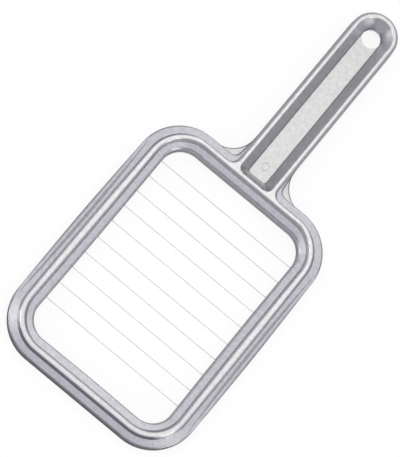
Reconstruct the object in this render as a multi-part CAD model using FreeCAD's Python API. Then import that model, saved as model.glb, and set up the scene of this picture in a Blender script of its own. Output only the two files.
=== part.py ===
import FreeCAD, Part
import math
import os

from FreeCAD import Vector

# Hand-held wire slicer: a die-cast aluminium frame with its handle, strung with ten cutting wires.
# Millimetres. +Y runs up the handle, +Z is the ridged face, the origin is under the middle of the part.

# Overall form
overall_length = 200.0
frame_length = 114.4
frame_width = 86.5
frame_corner_radius = 19.8
opening_corner_radius = 9.4
handle_width = 21.0
side_bow = 0.9
opening_bow = 0.3
bow_from_corner = 7.5

# Levels above the underside
ridge_level = 8.5
band_level = 6.6
band_edge_level = 5.8
web_level = 3.1
pocket_floor_level = 3.1

# Bright ridge that runs round the frame and up both sides of the handle
ridge_top_width = 1.2
ridge_flank_run = 1.05
ridge_outer_bow = 0.4
ridge_inner_bow = 0.35
ridge_edge_round = 0.35
rail_inset = 2.0
tip_rail_inset = 2.45
rail_fillet = 5.0

# Sloping bands on both sides of the ridge, and the walls below them
end_band_width = 5.0
side_band_width = 5.4
inner_band_width = 4.75
band_slope_run = 3.9
outer_edge_round = 0.9
opening_edge_round = 1.2
wall_draft = 0.35
underside_round = 0.6

# Neck and handle
gusset_radius = 11.7
gusset_edge_round = 0.9
shoulder_fillet = 2.8
neck_flare = 1.3
neck_flare_length = 12.0
neck_flare_round = 60.0
pocket_wall_run = 3.65
pocket_mouth_corner = 3.2
pocket_floor_corner = 1.2
pocket_floor_round = 0.4
hanging_hole_diameter = 8.2
hanging_hole_chamfer = 1.4

# Stepped outer shoulder of the two long bars
step_inset = 2.85
step_slope_run = 1.45
step_level = 4.9
step_ledge_width = 0.6
step_lip_round = 1.2
step_sweep_radius = 800.0

# Witness ring that an ejector pin leaves on the pocket floor
pin_mark_diameter = 3.6
pin_mark_width = 0.4
pin_mark_depth = 0.25
pin_mark_from_floor_end = 5.7

# Cutting wires, in two groups with a wider gap between them
wires_per_group = 5
first_wire_from_opening = 13.8
last_wire_from_opening = 10.45
middle_gap_extra = 0.85
wire_diameter = 0.4
wire_level = 2.8
wire_tail = 0.6

# Wire anchorage inside the bars
channel_width = 5.8
channel_depth = 4.4
slot_clearance = 0.1
stop_collar_diameter = 2.4
stop_collar_length = 1.0
stop_barrel_diameter = 1.8
stop_barrel_length = 2.6
stop_groove_diameter = 1.4
stop_groove_width = 0.5

# How far a cutting shape runs past what it cuts, and how close counts as touching
overrun = 1.0
touch = 1e-4

# Places worked out from the sizes above
tip_y = overall_length / 2
bottom_y = -overall_length / 2
top_y = bottom_y + frame_length
middle_y = (bottom_y + top_y) / 2
side_x = frame_width / 2
handle_x = handle_width / 2
rail_x = handle_x - rail_inset
tip_centre_y = tip_y - handle_x
crest_tip_shift = tip_rail_inset - rail_inset
ridge_x = side_x - side_band_width
ridge_bottom_y = bottom_y + end_band_width
ridge_top_y = top_y - end_band_width
ridge_corner_radius = frame_corner_radius - end_band_width
ridge_half = ridge_top_width / 2
ridge_half_length = (ridge_top_y - ridge_bottom_y) / 2
flank_slope = ridge_flank_run / (ridge_level - band_level)
band_slope = (band_level - band_edge_level) / band_slope_run
neck_room = side_x - handle_x - frame_corner_radius
opening_bottom_y = ridge_bottom_y + inner_band_width
opening_top_y = ridge_top_y - inner_band_width
anchor_x = ridge_x - channel_width / 2
stop_length = stop_collar_length + stop_barrel_length
across = Vector(1, 0, 0)


def outline(corners, level):
    """Closed flat outline through corners (x, y, radius), with a tangent arc at each corner."""
    spots = [Vector(x, y, level) for x, y, _ in corners]
    arrivals = []
    middles = []
    departures = []
    for index, spot in enumerate(spots):
        radius = corners[index][2]
        back = (spots[index - 1] - spot).normalize()
        ahead = (spots[(index + 1) % len(spots)] - spot).normalize()
        reach = radius * math.tan((math.pi - back.getAngle(ahead)) / 2)
        inward = (back + ahead).normalize()
        arrivals.append(spot + back * reach)
        middles.append(spot + inward * (math.hypot(radius, reach) - radius))
        departures.append(spot + ahead * reach)
    edges = []
    for index in range(len(spots)):
        edges.append(Part.Arc(arrivals[index], middles[index], departures[index]).toShape())
        following = arrivals[(index + 1) % len(spots)]
        if departures[index].distanceToPoint(following) > touch:
            edges.append(Part.makeLine(departures[index], following))
    return Part.Wire(edges)


def mirrored(right_half):
    """Corners of a whole outline from those of its right half, listed upwards."""
    return right_half + [(-x, y, radius) for x, y, radius in reversed(right_half)]


def bow_corner(half_side, corner, bow):
    """Rise and radius of the middle corner of a side that swells by bow between its end corners."""
    reach = half_side - corner - bow_from_corner
    rise = bow / (1 - reach / (2 * half_side))
    return rise, reach * half_side / rise


def paddle_outline(level, inset):
    """Outer outline of frame and handle, drawn in by inset."""
    x = side_x - inset
    handle = handle_x - inset
    corner = frame_corner_radius - inset
    rise, radius = bow_corner(frame_length / 2 - inset, corner, side_bow)
    return outline(mirrored([
        (x, bottom_y + inset, corner),
        (x + rise, middle_y, radius),
        (x, top_y - inset, corner),
        (handle + neck_flare, top_y - inset, min(shoulder_fillet, neck_room) + inset),
        (handle, top_y + neck_flare_length, neck_flare_round),
        (handle, tip_y - inset, handle),
    ]), level)


def ridge_outline(level, offset, tip_shift):
    """Outer side of the ridge, offset outwards, with its tip shifted back."""
    x = ridge_x + offset
    rail = rail_x + offset
    corner = ridge_corner_radius + offset
    rise, radius = bow_corner(ridge_half_length + offset, corner, ridge_outer_bow)
    return outline(mirrored([
        (x, ridge_bottom_y - offset, corner),
        (x + rise, middle_y, radius),
        (x, ridge_top_y + offset, corner),
        (rail, ridge_top_y + offset, rail_fillet - offset),
        (rail, tip_centre_y + rail - tip_shift, rail),
    ]), level)


def ring_outline(level, offset, bow=0.0, corner=None):
    """Rounded rectangle along the frame's ridge, offset outwards; all but its top side swell in by bow."""
    x = ridge_x + offset
    corner = corner or ridge_corner_radius + offset
    right_half = [(x, ridge_bottom_y - offset, corner), (x, ridge_top_y + offset, corner)]
    if not bow:
        return outline(mirrored(right_half), level)
    side_rise, side_radius = bow_corner(ridge_half_length + offset, corner, bow)
    end_rise, end_radius = bow_corner(x, corner, bow)
    right_half.insert(1, (x - side_rise, middle_y, side_radius))
    bottom = (0, ridge_bottom_y - offset + end_rise, end_radius)
    return outline(mirrored(right_half) + [bottom], level)


def pocket_outline(level, inset, corner):
    """Pocket of the handle, drawn in from the inner edges of its rails."""
    x = rail_x - ridge_half - inset
    return outline(mirrored([
        (x, ridge_top_y + ridge_half + inset, corner),
        (x, tip_centre_y - crest_tip_shift + x, x),
    ]), level)


def prism(wire, height):
    return Part.Face(wire).extrude(Vector(0, 0, height))


def loft(lower, upper):
    return Part.makeLoft([lower, upper], True, True)


def rod(diameter, length, start):
    """Cylinder across the frame, from start towards +X."""
    return Part.makeCylinder(diameter / 2, length, start, across)


def mirror_x(shape):
    return shape.mirror(Vector(0, 0, 0), across)


def edges_at(shape, level):
    """Edges that lie wholly at one level."""
    return [edge for edge in shape.Edges
            if abs(edge.BoundBox.ZMin - level) < touch and abs(edge.BoundBox.ZMax - level) < touch]


def edges_inside(shape, wire):
    """Edges at the level of a flat closed wire whose middles lie inside it."""
    inside = Part.Face(wire)
    picked = []
    for edge in edges_at(shape, wire.CenterOfMass.z):
        middle = edge.valueAt((edge.FirstParameter + edge.LastParameter) / 2)
        if inside.isInside(middle, touch, False):
            picked.append(edge)
    return picked


def banded_body():
    """Drafted wall of frame and handle, closed by the outer bands and rounded where they meet."""
    wall = loft(paddle_outline(0, 0), paddle_outline(band_edge_level, wall_draft))
    wall = wall.makeFillet(underside_round, edges_at(wall, 0))
    bands = loft(paddle_outline(band_edge_level, wall_draft),
                 paddle_outline(band_level, wall_draft + band_slope_run))
    body = wall.fuse(bands)
    return body.makeFillet(outer_edge_round, edges_at(body, band_edge_level))


def ridge_block():
    """Ridge of frame and handle before the opening and the pocket are cut from it."""
    skirt_offset = rail_inset - wall_draft
    skirt_level = ridge_level - (skirt_offset - ridge_half) / flank_slope
    flanks = loft(ridge_outline(skirt_level, skirt_offset, 0),
                  ridge_outline(ridge_level, ridge_half, crest_tip_shift))
    flanks = flanks.makeFillet(ridge_edge_round, edges_at(flanks, ridge_level))
    skirt = prism(ridge_outline(web_level, skirt_offset, 0), skirt_level - web_level)
    return flanks.fuse(skirt)


def gusset():
    """Flat web in the right-hand corner between handle and frame, with a hollow outer edge."""
    radius = min(gusset_radius, neck_room)
    inner_x = handle_x - wall_draft - overrun
    inner_y = top_y - wall_draft - overrun
    centre = Vector(handle_x + radius, top_y + radius, 0)
    on_handle = Vector(handle_x, centre.y, 0)
    on_frame = Vector(centre.x, top_y, 0)
    between = centre - Vector(radius, radius, 0) * math.sqrt(0.5)
    hollow = Part.Arc(on_handle, between, on_frame).toShape()
    rest = Part.makePolygon([on_frame, Vector(centre.x, inner_y, 0), Vector(inner_x, inner_y, 0),
                             Vector(inner_x, centre.y, 0), on_handle])
    web = prism(Part.Wire([hollow] + rest.Edges), web_level)
    rim = [edge for edge in edges_at(web, web_level) if isinstance(edge.Curve, Part.Circle)]
    return web.makeFillet(gusset_edge_round, rim)


def frame_opening():
    """Food opening, with the inner bands and the inner flank of the ridge above it."""
    edge = (-inner_band_width, opening_bow, opening_corner_radius)
    foot = -ridge_half - ridge_flank_run
    crest = -ridge_half + flank_slope * overrun
    through = prism(ring_outline(-overrun, *edge), band_edge_level + overrun)
    bands = loft(ring_outline(band_edge_level, *edge), ring_outline(band_level, foot, ridge_inner_bow))
    flank = loft(ring_outline(band_level, foot, ridge_inner_bow),
                 ring_outline(ridge_level + overrun, crest, ridge_inner_bow))
    return through.fuse([bands, flank])


def handle_pocket():
    """Pocket between the rails, with sloped walls down to a flat floor."""
    wall_slope = pocket_wall_run / (ridge_level - pocket_floor_level)
    pocket = loft(pocket_outline(pocket_floor_level, pocket_wall_run, pocket_floor_corner),
                  pocket_outline(ridge_level + overrun, -wall_slope * overrun, pocket_mouth_corner))
    return pocket.makeFillet(pocket_floor_round, edges_at(pocket, pocket_floor_level))


def hanging_hole():
    """Hole for a hook, chamfered on the underside."""
    radius = hanging_hole_diameter / 2
    spot = Vector(0, tip_centre_y, -overrun)
    depth = hanging_hole_chamfer + overrun
    chamfer = Part.makeCone(radius + depth, radius, depth, spot)
    return Part.makeCylinder(radius, ridge_level + 2 * overrun, spot).fuse(chamfer)


def pin_mark():
    """Shallow ring in the pocket floor."""
    floor_end_y = ridge_top_y + ridge_half + pocket_wall_run
    spot = Vector(0, floor_end_y + pin_mark_from_floor_end, pocket_floor_level - pin_mark_depth)
    outer = Part.makeCylinder(pin_mark_diameter / 2, overrun, spot)
    return outer.cut(Part.makeCylinder(pin_mark_diameter / 2 - pin_mark_width, overrun, spot))


def underside_channel():
    """Channel under the ring, which lightens the casting and hides the wire ends."""
    outer = prism(ring_outline(-overrun, channel_width / 2), channel_depth + overrun)
    inner = prism(ring_outline(-overrun, -channel_width / 2), channel_depth + overrun)
    return outer.cut(inner)


def step_cutter():
    """Cut for the right-hand bar's shoulder: a slope to a round-lipped ledge that rises out at both ends."""
    ceiling = band_level + overrun
    ledge_x = ridge_x + step_inset + step_slope_run
    mouth_x = ledge_x - step_slope_run * (ceiling - step_level) / (band_level - step_level)
    lip_x = ledge_x + step_ledge_width
    lip_level = step_level - band_slope * step_ledge_width
    lip_end_x = lip_x + step_lip_round
    lip_end_level = lip_level - step_lip_round
    lip_bulge = step_lip_round * math.sqrt(0.5)
    far_x = lip_end_x + overrun

    def spot(x, level):
        return Vector(x, middle_y, level)

    ledge = Part.makePolygon([spot(mouth_x, ceiling), spot(ledge_x, step_level), spot(lip_x, lip_level)])
    lip = Part.Arc(spot(lip_x, lip_level), spot(lip_x + lip_bulge, lip_end_level + lip_bulge),
                   spot(lip_end_x, lip_end_level)).toShape()
    back = Part.makePolygon([spot(lip_end_x, lip_end_level), spot(far_x, lip_end_level),
                             spot(far_x, ceiling), spot(mouth_x, ceiling)])
    profile = Part.Wire(ledge.Edges + [lip] + back.Edges)
    pivot = spot(0, step_level + step_sweep_radius)
    half_turn = math.degrees(math.asin(frame_length / 2 / step_sweep_radius))
    sections = [profile.rotated(pivot, across, turn) for turn in (-half_turn, 0, half_turn)]
    return Part.makeLoft(sections, True)


def wire_rows():
    """Places of the wires along Y, from the frame end to the handle end."""
    first = opening_bottom_y + first_wire_from_opening
    last = opening_top_y - last_wire_from_opening
    pitch = (last - first - middle_gap_extra) / (2 * wires_per_group - 1)
    rows = []
    for index in range(2 * wires_per_group):
        extra = middle_gap_extra if index >= wires_per_group else 0.0
        rows.append(first + index * pitch + extra)
    return rows


def wire_slot(row):
    """Slot through both inner walls, open below, with a round end above the wire."""
    width = wire_diameter + 2 * slot_clearance
    reach = anchor_x + overrun
    slot = Part.makeBox(2 * reach, width, wire_level + overrun,
                        Vector(-reach, row - width / 2, -overrun))
    return slot.fuse(rod(width, 2 * reach, Vector(-reach, row, wire_level)))


def cast_frame():
    """The one-piece casting: frame, handle, hanging hole and wire anchorage."""
    web = gusset()
    step = step_cutter()
    casting = banded_body().fuse([ridge_block(), web, mirror_x(web)]).removeSplitter()
    casting = casting.cut([frame_opening(), handle_pocket()])
    casting = casting.makeFillet(opening_edge_round, edges_inside(casting, ring_outline(band_edge_level, 0)))
    crest = edges_inside(casting, ring_outline(ridge_level, 0))
    crest += edges_inside(casting, pocket_outline(ridge_level, -ridge_half, pocket_mouth_corner))
    casting = casting.makeFillet(ridge_edge_round, crest)
    casting = casting.makeFillet(underside_round, edges_inside(casting, ring_outline(0, 0)))
    casting = casting.cut([hanging_hole(), pin_mark(), underside_channel(), step, mirror_x(step)])
    return casting.cut([wire_slot(row) for row in wire_rows()]).Solids[0]


def cutting_wire(row):
    """Taut wire from tail to tail, through both end stops."""
    reach = anchor_x + stop_length + wire_tail
    return rod(wire_diameter, 2 * reach, Vector(-reach, row, wire_level))


def right_end_stop(row):
    """Crimped stop: a collar that bears on the inner wall, and a barrel with a crimp groove."""
    seat = Vector(anchor_x, row, wire_level)
    neck = seat + across * stop_collar_length
    groove = neck + across * ((stop_barrel_length - stop_groove_width) / 2)
    collar = rod(stop_collar_diameter, stop_collar_length, seat)
    barrel = rod(stop_barrel_diameter, stop_barrel_length, neck)
    crimp = rod(stop_collar_diameter, stop_groove_width, groove)
    crimp = crimp.cut(rod(stop_groove_diameter, stop_groove_width, groove))
    return collar.fuse(barrel).cut([crimp, rod(wire_diameter, stop_length, seat)]).Solids[0]


parts = {"cast_frame": cast_frame()}
for number, row in enumerate(wire_rows(), start=1):
    parts[f"cutting_wire_{number:02d}"] = cutting_wire(row)
    parts[f"right_end_stop_{number:02d}"] = right_end_stop(row)
    parts[f"left_end_stop_{number:02d}"] = mirror_x(right_end_stop(row))

os.makedirs("parts", exist_ok=True)
for name, shape in parts.items():
    shape.exportStep(f"parts/{name}.step")
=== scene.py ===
import math

import bpy
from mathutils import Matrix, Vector

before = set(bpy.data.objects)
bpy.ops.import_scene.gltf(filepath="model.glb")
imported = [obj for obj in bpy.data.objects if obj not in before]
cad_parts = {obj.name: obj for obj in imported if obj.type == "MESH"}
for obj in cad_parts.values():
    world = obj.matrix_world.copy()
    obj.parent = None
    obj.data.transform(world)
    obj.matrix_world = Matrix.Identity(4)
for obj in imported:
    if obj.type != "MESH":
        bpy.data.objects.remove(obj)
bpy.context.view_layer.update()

MM = 0.001
WHITE = "#ffffff"

# Camera, worked out from the photograph's perspective; the sensor, in mm, spans the image's longer side
TILT = math.radians(13.0)
ROLL = math.radians(39.74)
AIM = Vector((-4.30, -16.18, 0.0)) * MM
DISTANCE = 710.0 * MM
NEAREST = 10.0 * MM
FOCAL_PIXELS = 1800.0
IMAGE_HEIGHT = 457
SENSOR = 36.0

# White studio, from its dim side to the bright side above the handle end
BRIGHT_SIDE = Vector((0.0, 0.643, 0.766))
SKY = [(0.0, "#686870"), (0.42, "#787882"), (0.52, "#d4d4dc"), (0.8, "#e0e0e8"), (0.9, "#f0f0f4"),
       (1.0, WHITE)]
SKY_STRENGTH = 1.12

# Floor close under the part: its side in metres, its colour, and its share of white glow where it is seen
FLOOR_SIDE = 40.0
FLOOR_GAP = 0.1 * MM
FLOOR_COLOUR = "#fafafa"
FLOOR_GLOW = 0.85

# Lamps: azimuth and elevation in degrees, distance, width and height in metres, power in watts, colour
WARM = "#fffcee"
LAMPS = {
    "overhead": (90, 77, 1.23, 0.6, 0.6, 0.9, WHITE),
    "window": (90, 16, 1.57, 1.2, 0.5, 3.2, WHITE),
    "left_side": (180, 8, 1.5, 0.8, 0.3, 1.0, WHITE),
    "right_side": (0, 8, 1.5, 0.8, 0.3, 1.0, WHITE),
    "front": (270, 17, 1.5, 2.0, 0.4, 3.0, WHITE),
    "left_strip": (204, 36, 1.2, 0.15, 1.74, 1.7, WARM),
    "right_strip": (340, 36, 1.2, 0.15, 1.74, 0.9, WARM),
    "left_glint": (217, 14, 1.5, 0.7, 0.35, 6.0, WARM),
    "right_glint": (332, 14, 1.5, 0.7, 0.35, 6.0, WARM),
}

# Casting: its tumbled faces, its crest painted lighter as a painted highlight, and the matt floor of its
# pocket and webs
FACE = "#c5c5ca"
CREST_HIGHLIGHT = "#cacaca"
MATT = "#cececc"

# Its walls and the flanks of its ridge, from upright to level: painted shade darkens them
OUTER_WALL_SHADE = [(0.05, "#8e8e93"), (0.45, "#7a7a80"), (0.65, "#a2a2a7"), (0.8, "#808085"), (0.97, FACE)]
INNER_WALL_SHADE = [(0.05, FACE), (0.7, "#96969c"), (0.97, FACE)]
FLANK_SHADE = [(0.1, "#84848a"), (0.48, "#a2a2a7"), (0.8, FACE)]
FAR_FLANK_SHADE = [(0.1, "#66666e"), (0.48, "#72727c"), (0.8, FACE)]

# Painted shade in the reflections that its walls give at a low angle, as a dark tint, and how much of it the
# grip's sides take
WALL_REFLECTION_SHADE = [(0.05, "#8e8e94"), (0.7, "#8e8e94"), (0.97, WHITE)]
GRIP_REFLECTION_SHADE = 0.5

# Walls of its pocket towards the tip, with painted light beside the hanging hole, and painted shade at their
# foot and on the end wall at the neck
POCKET_WALL_LIGHT = [(0.0, "#c9c9cc"), (0.45, "#dcdce1"), (0.7, "#dcdce1"), (1.0, "#c4c4c8")]
POCKET_WALL_SHADE = "#96969a"

# Heights above the underside between which one tone passes into another
FLOOR_TOP = (3.12 * MM, 3.25 * MM)
WALL_FOOT = (3.2 * MM, 4.0 * MM)
WALL_TOP = (6.2 * MM, 6.5 * MM)
CREST = (8.1 * MM, 8.4 * MM)

# Places along the part's length, and the pocket's reach to each side
FAR_BAR = (-92.5 * MM, -88.0 * MM)
OPENING_MIDDLE = -42.8 * MM
POCKET_START = 9.4 * MM
POCKET_MIDDLE = 50.0 * MM
POCKET_REACH = 8.5 * MM
END_WALL = (11.0 * MM, 14.0 * MM)
GRIP_START = 15.0 * MM
TIP_WALL = (80.0 * MM, 96.0 * MM)

# How level a face is, from 0 for upright to 1: the least for the pocket's faces, and the range for its floor
OPEN_ABOVE = 0.1
NEARLY_LEVEL = (0.9, 0.98)

# Distance from the middle over which faces that look towards it pass into faces that look away
SIDE_BLEND = 1.0 * MM

# Clouding and grain left by tumbling: the real grit is too fine to show, so both are drawn coarser
CLOUD = 1.6 * MM
CLOUDED = [(0.3, "#ebebeb"), (0.7, WHITE)]
CLOUD_ROUGHNESS = 0.04
GRAIN = 0.6 * MM
GRAIN_DEPTH = 0.05 * MM
FACE_GRAIN = 0.12
MATT_GRAIN = 0.4
FACE_ROUGHNESS = 0.28
MATT_ROUGHNESS = 0.4

# Drawn wire: streaks long enough to show as a change of tone along it
DRAWN = [(0.3, "#c6c6c8"), (0.7, "#dedede")]
STREAK_LENGTH = 8.0 * MM
STREAK_WIDTH = 0.08 * MM
DRAWN_ROUGHNESS = (0.26, 0.16)

# Turned stops: rings coarser than the feed of the lathe, which is too fine to show
TURNED = [(0.3, "#8e8e8c"), (0.7, "#aaaaa8")]
TURNED_ROUGHNESS = 0.38
STAIN = 0.9 * MM
RING_SPACING = 0.377 * MM
RING_WAVER = 0.4
RING_RELIEF = 0.2
RING_DEPTH = 0.03 * MM

# Length of one ring of a wave pattern at a scale of 1
WAVE_LENGTH = math.tau / 20


def linear(hex_colour):
    """Linear RGBA of an sRGB hex colour."""
    channels = [int(hex_colour[i:i + 2], 16) / 255 for i in (1, 3, 5)]
    return [c / 12.92 if c <= 0.04045 else ((c + 0.055) / 1.055) ** 2.4 for c in channels] + [1.0]


def add(owner, kind, settings=None, stops=None, **inputs):
    """Adds a node with its settings, ramp stops and inputs, which go by name, or by i and a number."""
    tree = owner.node_tree
    node = tree.nodes.new("ShaderNode" + kind)
    for name, value in (settings or {}).items():
        setattr(node, name, value)
    for index, (position, colour) in enumerate(stops or []):
        elements = node.color_ramp.elements
        between = 0 < index < len(stops) - 1
        stop = elements.new(position) if between else elements[-1 if index else 0]
        stop.position = position
        stop.color = linear(colour)
    for name, value in inputs.items():
        numbered = name[0] == "i" and name[1:].isdigit()
        socket = node.inputs[int(name[1:]) if numbered else name]
        if isinstance(value, bpy.types.NodeSocket):
            tree.links.new(value, socket)
        else:
            socket.default_value = value
    return node


def new_material(name):
    material = bpy.data.materials.new(name)
    material.use_nodes = True
    material.node_tree.nodes.clear()
    return material


def casting_sides(material, axes, place, normal, upward):
    """Whether a face looks away from the middle of opening or pocket, and whether it is off the pocket."""
    aside = add(material, "Math", {"operation": "ABSOLUTE"}, i0=axes["X"])
    within = add(material, "Math", {"operation": "LESS_THAN"}, i0=aside.outputs[0], i1=POCKET_REACH)
    pocket = add(material, "Math", {"operation": "GREATER_THAN"}, i0=axes["Y"], i1=POCKET_START)
    pocket = add(material, "Math", {"operation": "MULTIPLY"}, i0=pocket.outputs[0], i1=within.outputs[0])
    above = add(material, "Math", {"operation": "GREATER_THAN"}, i0=upward, i1=OPEN_ABOVE)
    pocket = add(material, "Math", {"operation": "MULTIPLY"}, i0=pocket.outputs[0], i1=above.outputs[0])
    middle = add(material, "Math", {"operation": "MULTIPLY_ADD"}, i0=pocket.outputs[0],
                 i1=POCKET_MIDDLE - OPENING_MIDDLE, i2=OPENING_MIDDLE)
    middle = add(material, "CombineXYZ", Y=middle.outputs[0])
    away = add(material, "VectorMath", {"operation": "SUBTRACT"}, i0=place, i1=middle.outputs[0])
    away = add(material, "VectorMath", {"operation": "DOT_PRODUCT"}, i0=away.outputs[0], i1=normal)
    away = add(material, "MapRange", i0=away.outputs["Value"], i1=-SIDE_BLEND, i2=SIDE_BLEND)
    outside = add(material, "Math", {"operation": "SUBTRACT"}, i0=1.0, i1=pocket.outputs[0])
    outside = add(material, "Math", {"operation": "MAXIMUM"}, i0=outside.outputs[0], i1=away.outputs[0])
    return away.outputs[0], outside.outputs[0]


def ridge_and_pocket(material, axes, flatness, away, outside):
    """Painted shade on the ridge's flanks, darkest on the bar opposite the handle, and painted light and
    shade on the pocket's walls.
    """
    # Painted shade on the flanks by their slope, deepest on the bar opposite the handle
    far = add(material, "MapRange", i0=axes["Y"], i1=FAR_BAR[1], i2=FAR_BAR[0])
    far = add(material, "Math", {"operation": "MULTIPLY"}, i0=far.outputs[0], i1=away)
    flank = add(material, "ValToRGB", stops=FLANK_SHADE, Fac=flatness)
    far_flank = add(material, "ValToRGB", stops=FAR_FLANK_SHADE, Fac=flatness)
    flank = add(material, "Mix", {"data_type": "RGBA"}, i0=far.outputs[0], i6=flank.outputs["Color"],
                i7=far_flank.outputs["Color"])
    # Painted shade on the pocket's end wall at the neck and at the foot of its walls, painted light beside
    # the hanging hole
    end = add(material, "MapRange", i0=axes["Y"], i1=END_WALL[1], i2=END_WALL[0])
    foot = add(material, "MapRange", i0=axes["Z"], i1=WALL_FOOT[1], i2=WALL_FOOT[0])
    pocket_shade_mask = add(material, "Math", {"operation": "MAXIMUM"}, i0=end.outputs[0], i1=foot.outputs[0])
    tip = add(material, "MapRange", i0=axes["Y"], i1=TIP_WALL[0], i2=TIP_WALL[1])
    pocket = add(material, "ValToRGB", stops=POCKET_WALL_LIGHT, Fac=tip.outputs[0])
    pocket = add(material, "Mix", {"data_type": "RGBA"}, i0=pocket_shade_mask.outputs[0], i6=pocket.outputs["Color"],
                 i7=linear(POCKET_WALL_SHADE))
    tones = add(material, "Mix", {"data_type": "RGBA"}, i0=outside, i6=pocket.outputs[2],
                i7=flank.outputs[2])
    return tones.outputs[2]


def side_walls(material, axes, flatness, away, outside, colour):
    """Colour with painted shade on the walls below the bands laid over it, and a dark tint of their
    reflections as painted shade.
    """
    # Painted shade on the walls below the bands, by their slope
    low = add(material, "MapRange", i0=axes["Z"], i1=WALL_TOP[1], i2=WALL_TOP[0])
    walled = add(material, "Math", {"operation": "MULTIPLY"}, i0=outside, i1=low.outputs[0])
    outer = add(material, "ValToRGB", stops=OUTER_WALL_SHADE, Fac=flatness)
    inner = add(material, "ValToRGB", stops=INNER_WALL_SHADE, Fac=flatness)
    wall = add(material, "Mix", {"data_type": "RGBA"}, i0=away, i6=inner.outputs["Color"],
               i7=outer.outputs["Color"])
    colour = add(material, "Mix", {"data_type": "RGBA"}, i0=walled.outputs[0], i6=colour,
                 i7=wall.outputs[2])
    # Painted shade in the reflections of those walls and of the grip's sides, as a dark tint
    grip = add(material, "Math", {"operation": "GREATER_THAN"}, i0=axes["Y"], i1=GRIP_START)
    grip = add(material, "Math", {"operation": "MULTIPLY"}, i0=grip.outputs[0], i1=GRIP_REFLECTION_SHADE)
    grip = add(material, "Math", {"operation": "MULTIPLY"}, i0=outside, i1=grip.outputs[0])
    reflection_shade_mask = add(material, "Math", {"operation": "MAXIMUM"}, i0=walled.outputs[0], i1=grip.outputs[0])
    glance = add(material, "ValToRGB", stops=WALL_REFLECTION_SHADE, Fac=flatness)
    glance = add(material, "Mix", {"data_type": "RGBA"}, i0=reflection_shade_mask.outputs[0], i6=linear(WHITE),
                 i7=glance.outputs["Color"])
    return colour.outputs[2], glance.outputs[2]


def die_cast_aluminium():
    """Tumbled die casting: satin faces, a crest with a painted highlight, a grainy matt floor and painted
    shade on the walls.
    """
    material = new_material("die_cast_aluminium_tumbled")
    coordinates = add(material, "TexCoord").outputs
    place = coordinates["Object"]
    normal = coordinates["Normal"]
    axes = add(material, "SeparateXYZ", Vector=place).outputs
    upward = add(material, "SeparateXYZ", Vector=normal).outputs["Z"]
    flatness = add(material, "Math", {"operation": "ABSOLUTE"}, i0=upward).outputs[0]
    away, outside = casting_sides(material, axes, place, normal, upward)
    colour = ridge_and_pocket(material, axes, flatness, away, outside)
    colour, glance = side_walls(material, axes, flatness, away, outside, colour)

    # Crest painted lighter: a painted highlight along the ridge top
    crest = add(material, "MapRange", i0=axes["Z"], i1=CREST[0], i2=CREST[1])
    colour = add(material, "Mix", {"data_type": "RGBA"}, i0=crest.outputs[0], i6=colour,
                 i7=linear(CREST_HIGHLIGHT))

    # Matt floor of pocket and webs
    matt = add(material, "MapRange", i0=axes["Z"], i1=FLOOR_TOP[1], i2=FLOOR_TOP[0])
    level = add(material, "MapRange", i0=flatness, i1=NEARLY_LEVEL[0], i2=NEARLY_LEVEL[1])
    matt = add(material, "Math", {"operation": "MULTIPLY"}, i0=matt.outputs[0], i1=level.outputs[0])
    colour = add(material, "Mix", {"data_type": "RGBA"}, i0=matt.outputs[0], i6=colour.outputs[2],
                 i7=linear(MATT))

    # Tumbling clouds the metal unevenly, and its grain is coarsest on the floor
    cloud = add(material, "TexNoise", Vector=place, Scale=1 / CLOUD, Detail=4.0)
    shade = add(material, "ValToRGB", stops=CLOUDED, Fac=cloud.outputs["Fac"])
    colour = add(material, "Mix", {"data_type": "RGBA", "blend_type": "MULTIPLY"}, i0=1.0,
                 i6=colour.outputs[2], i7=shade.outputs["Color"])
    roughness = add(material, "MapRange", i0=matt.outputs[0], i3=FACE_ROUGHNESS, i4=MATT_ROUGHNESS)
    roughness = add(material, "Math", {"operation": "MULTIPLY_ADD"}, i0=cloud.outputs["Fac"],
                    i1=CLOUD_ROUGHNESS, i2=roughness.outputs[0])
    grain = add(material, "TexNoise", Vector=place, Scale=1 / GRAIN, Detail=3.0)
    relief = add(material, "MapRange", i0=matt.outputs[0], i3=FACE_GRAIN, i4=MATT_GRAIN)
    bump = add(material, "Bump", Height=grain.outputs["Fac"], Strength=relief.outputs[0],
               Distance=GRAIN_DEPTH)
    shader = add(material, "BsdfPrincipled", **{
        "Base Color": colour.outputs[2], "Metallic": 1.0, "Roughness": roughness.outputs[0],
        "Specular Tint": glance, "Normal": bump.outputs["Normal"]})
    add(material, "OutputMaterial", Surface=shader.outputs["BSDF"])
    return material


def drawn_steel():
    """Bright spring wire with the lengthwise streaks of the drawing die."""
    material = new_material("stainless_spring_wire")
    place = add(material, "TexCoord").outputs["Object"]
    along = add(material, "Mapping", Vector=place,
                Scale=(1 / STREAK_LENGTH, 1 / STREAK_WIDTH, 1 / STREAK_WIDTH))
    streak = add(material, "TexNoise", Vector=along.outputs[0], Scale=1.0, Detail=2.0)
    colour = add(material, "ValToRGB", stops=DRAWN, Fac=streak.outputs["Fac"])
    roughness = add(material, "MapRange", i0=streak.outputs["Fac"], i3=DRAWN_ROUGHNESS[0],
                    i4=DRAWN_ROUGHNESS[1])
    shader = add(material, "BsdfPrincipled", **{
        "Base Color": colour.outputs["Color"], "Metallic": 1.0, "Roughness": roughness.outputs[0]})
    add(material, "OutputMaterial", Surface=shader.outputs["BSDF"])
    return material


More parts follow.
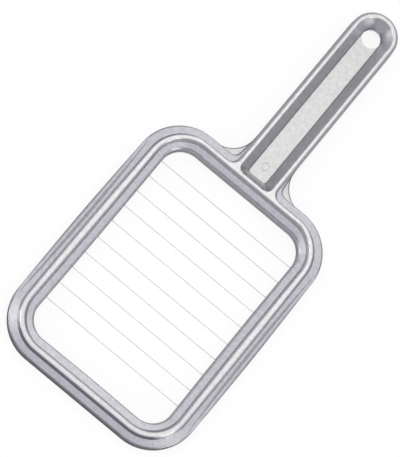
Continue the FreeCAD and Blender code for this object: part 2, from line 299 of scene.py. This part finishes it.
def turned_steel():
    """Duller steel of the crimped stops, ringed by the lathe tool and lightly stained."""
    material = new_material("turned_steel_crimped")
    place = add(material, "TexCoord").outputs["Object"]
    rings = add(material, "TexWave", {"bands_direction": "X"}, Vector=place,
                Scale=WAVE_LENGTH / RING_SPACING, Distortion=RING_WAVER)
    stain = add(material, "TexNoise", Vector=place, Scale=1 / STAIN, Detail=3.0)
    colour = add(material, "ValToRGB", stops=TURNED, Fac=stain.outputs["Fac"])
    bump = add(material, "Bump", Height=rings.outputs["Fac"], Strength=RING_RELIEF, Distance=RING_DEPTH)
    shader = add(material, "BsdfPrincipled", **{
        "Base Color": colour.outputs["Color"], "Metallic": 1.0, "Roughness": TURNED_ROUGHNESS,
        "Normal": bump.outputs["Normal"]})
    add(material, "OutputMaterial", Surface=shader.outputs["BSDF"])
    return material


def place_camera():
    data = bpy.data.cameras.new("camera")
    data.sensor_width = SENSOR
    data.lens = FOCAL_PIXELS * SENSOR / IMAGE_HEIGHT
    data.clip_start = NEAREST
    camera = bpy.data.objects.new("camera", data)
    camera.rotation_mode = "ZYX"
    camera.rotation_euler = (TILT, 0, ROLL)
    camera.location = AIM + DISTANCE * Vector((0, -math.sin(TILT), math.cos(TILT)))
    bpy.context.scene.collection.objects.link(camera)
    bpy.context.scene.camera = camera


def make_floor():
    """Matt white floor that keeps the part's shadow, and glows white where it is seen or mirrored."""
    bpy.ops.object.select_all(action="DESELECT")
    bpy.ops.mesh.primitive_plane_add(size=FLOOR_SIDE, location=(0, 0, -FLOOR_GAP))
    floor = bpy.context.object
    floor.name = "floor"
    material = new_material("white_floor")
    path = add(material, "LightPath")
    seen = add(material, "Math", {"operation": "MAXIMUM"},
               i0=path.outputs["Is Camera Ray"], i1=path.outputs["Is Glossy Ray"])
    seen = add(material, "Math", {"operation": "MAXIMUM"},
               i0=seen.outputs[0], i1=path.outputs["Is Transmission Ray"])
    share = add(material, "Math", {"operation": "MULTIPLY"}, i0=seen.outputs[0], i1=FLOOR_GLOW)
    matt = add(material, "BsdfDiffuse", Color=linear(FLOOR_COLOUR))
    glow = add(material, "Emission", Color=linear(WHITE), Strength=1.0)
    mix = add(material, "MixShader", Fac=share.outputs[0], i1=matt.outputs[0], i2=glow.outputs[0])
    add(material, "OutputMaterial", Surface=mix.outputs[0])
    floor.data.materials.append(material)


def soft_light(name, azimuth, elevation, distance, width, height, power, colour):
    """Rectangular lamp that faces the object from the given direction."""
    data = bpy.data.lights.new(name, "AREA")
    data.shape = "RECTANGLE"
    data.size = width
    data.size_y = height
    data.energy = power
    data.color = linear(colour)[:3]
    lamp = bpy.data.objects.new(name, data)
    lamp.rotation_euler = (math.radians(90 - elevation), 0, math.radians(azimuth + 90))
    lamp.location = lamp.rotation_euler.to_matrix() @ Vector((0, 0, distance))
    bpy.context.scene.collection.objects.link(lamp)


def light_studio():
    """White surroundings that are brightest above the handle end, and the lamps."""
    world = bpy.data.worlds.new("studio")
    bpy.context.scene.world = world
    world.use_nodes = True
    world.node_tree.nodes.clear()
    way = add(world, "TexCoord").outputs["Generated"]
    facing = add(world, "VectorMath", {"operation": "DOT_PRODUCT"}, i0=way, i1=BRIGHT_SIDE)
    share = add(world, "MapRange", i0=facing.outputs["Value"], i1=-1.0, i2=1.0)
    sky = add(world, "ValToRGB", stops=SKY, Fac=share.outputs["Result"])
    light = add(world, "Background", Color=sky.outputs["Color"], Strength=SKY_STRENGTH)
    add(world, "OutputWorld", Surface=light.outputs["Background"])
    for name, settings in LAMPS.items():
        soft_light(name, *settings)


# The first word of a node's name tells its finish
finishes = {"cast": die_cast_aluminium(), "cutting": drawn_steel(), "left": turned_steel()}
finishes["right"] = finishes["left"]
for name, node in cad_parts.items():
    node.data.materials.clear()
    node.data.materials.append(finishes[name.split("_")[0]])

place_camera()
make_floor()
light_studio()
bpy.context.scene.view_settings.view_transform = "Standard"
